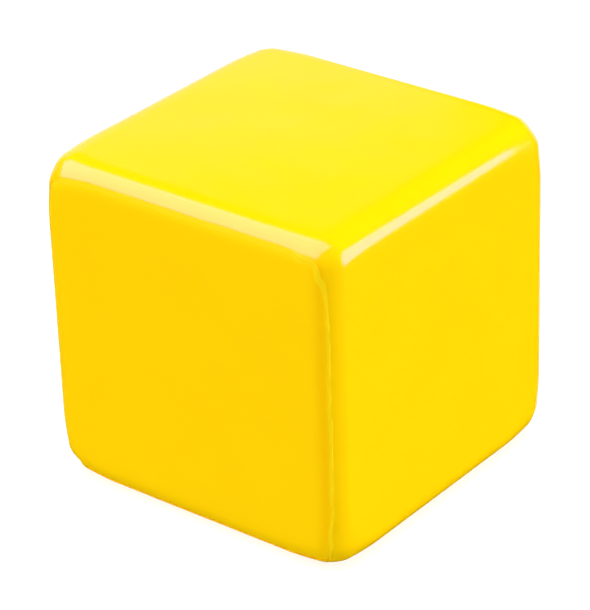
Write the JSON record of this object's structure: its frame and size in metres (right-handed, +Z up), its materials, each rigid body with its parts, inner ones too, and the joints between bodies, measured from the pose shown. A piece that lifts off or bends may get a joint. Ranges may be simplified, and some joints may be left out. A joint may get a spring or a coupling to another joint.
{
  "type": "stress cube",
  "caption": "Squeezable cube of soft moulded foam with rounded edges, a thin glossy coat and a parting line round one face.",
  "frame": {"origin": "middle of the flat underside, on the surface that the cube stands on", "axes": "+Z up; -Y is the front face, which the mould's lid forms and the parting line runs round; +X to the right of it"},
  "size_m": [0.06, 0.06, 0.0593],
  "materials": {
    "lid_coat": "satin in-mould polyurethane paint, yellow",
    "parting_flash": "matt moulding flash, yellow",
    "shell_coat": "semi-gloss in-mould polyurethane paint, yellow",
    "foam": "open-cell polyurethane foam, cream"
  },
  "bodies": {
    "back": {"shell_coat_back": "shell_coat", "foam_core_back": "foam"},
    "front": {"lid_coat": "lid_coat", "parting_flash": "parting_flash", "shell_coat_front": "shell_coat", "foam_core_front": "foam"}
  },
  "joints": [
    {"name": "squeeze", "type": "slide", "parent": "back", "child": "front", "axis": [0, 1, 0], "range_m": [0, 0.027], "stiffness_N_per_m": 1500, "deforming": ["foam_core_front", "foam_core_back", "shell_coat_front", "shell_coat_back"]}
  ]
}
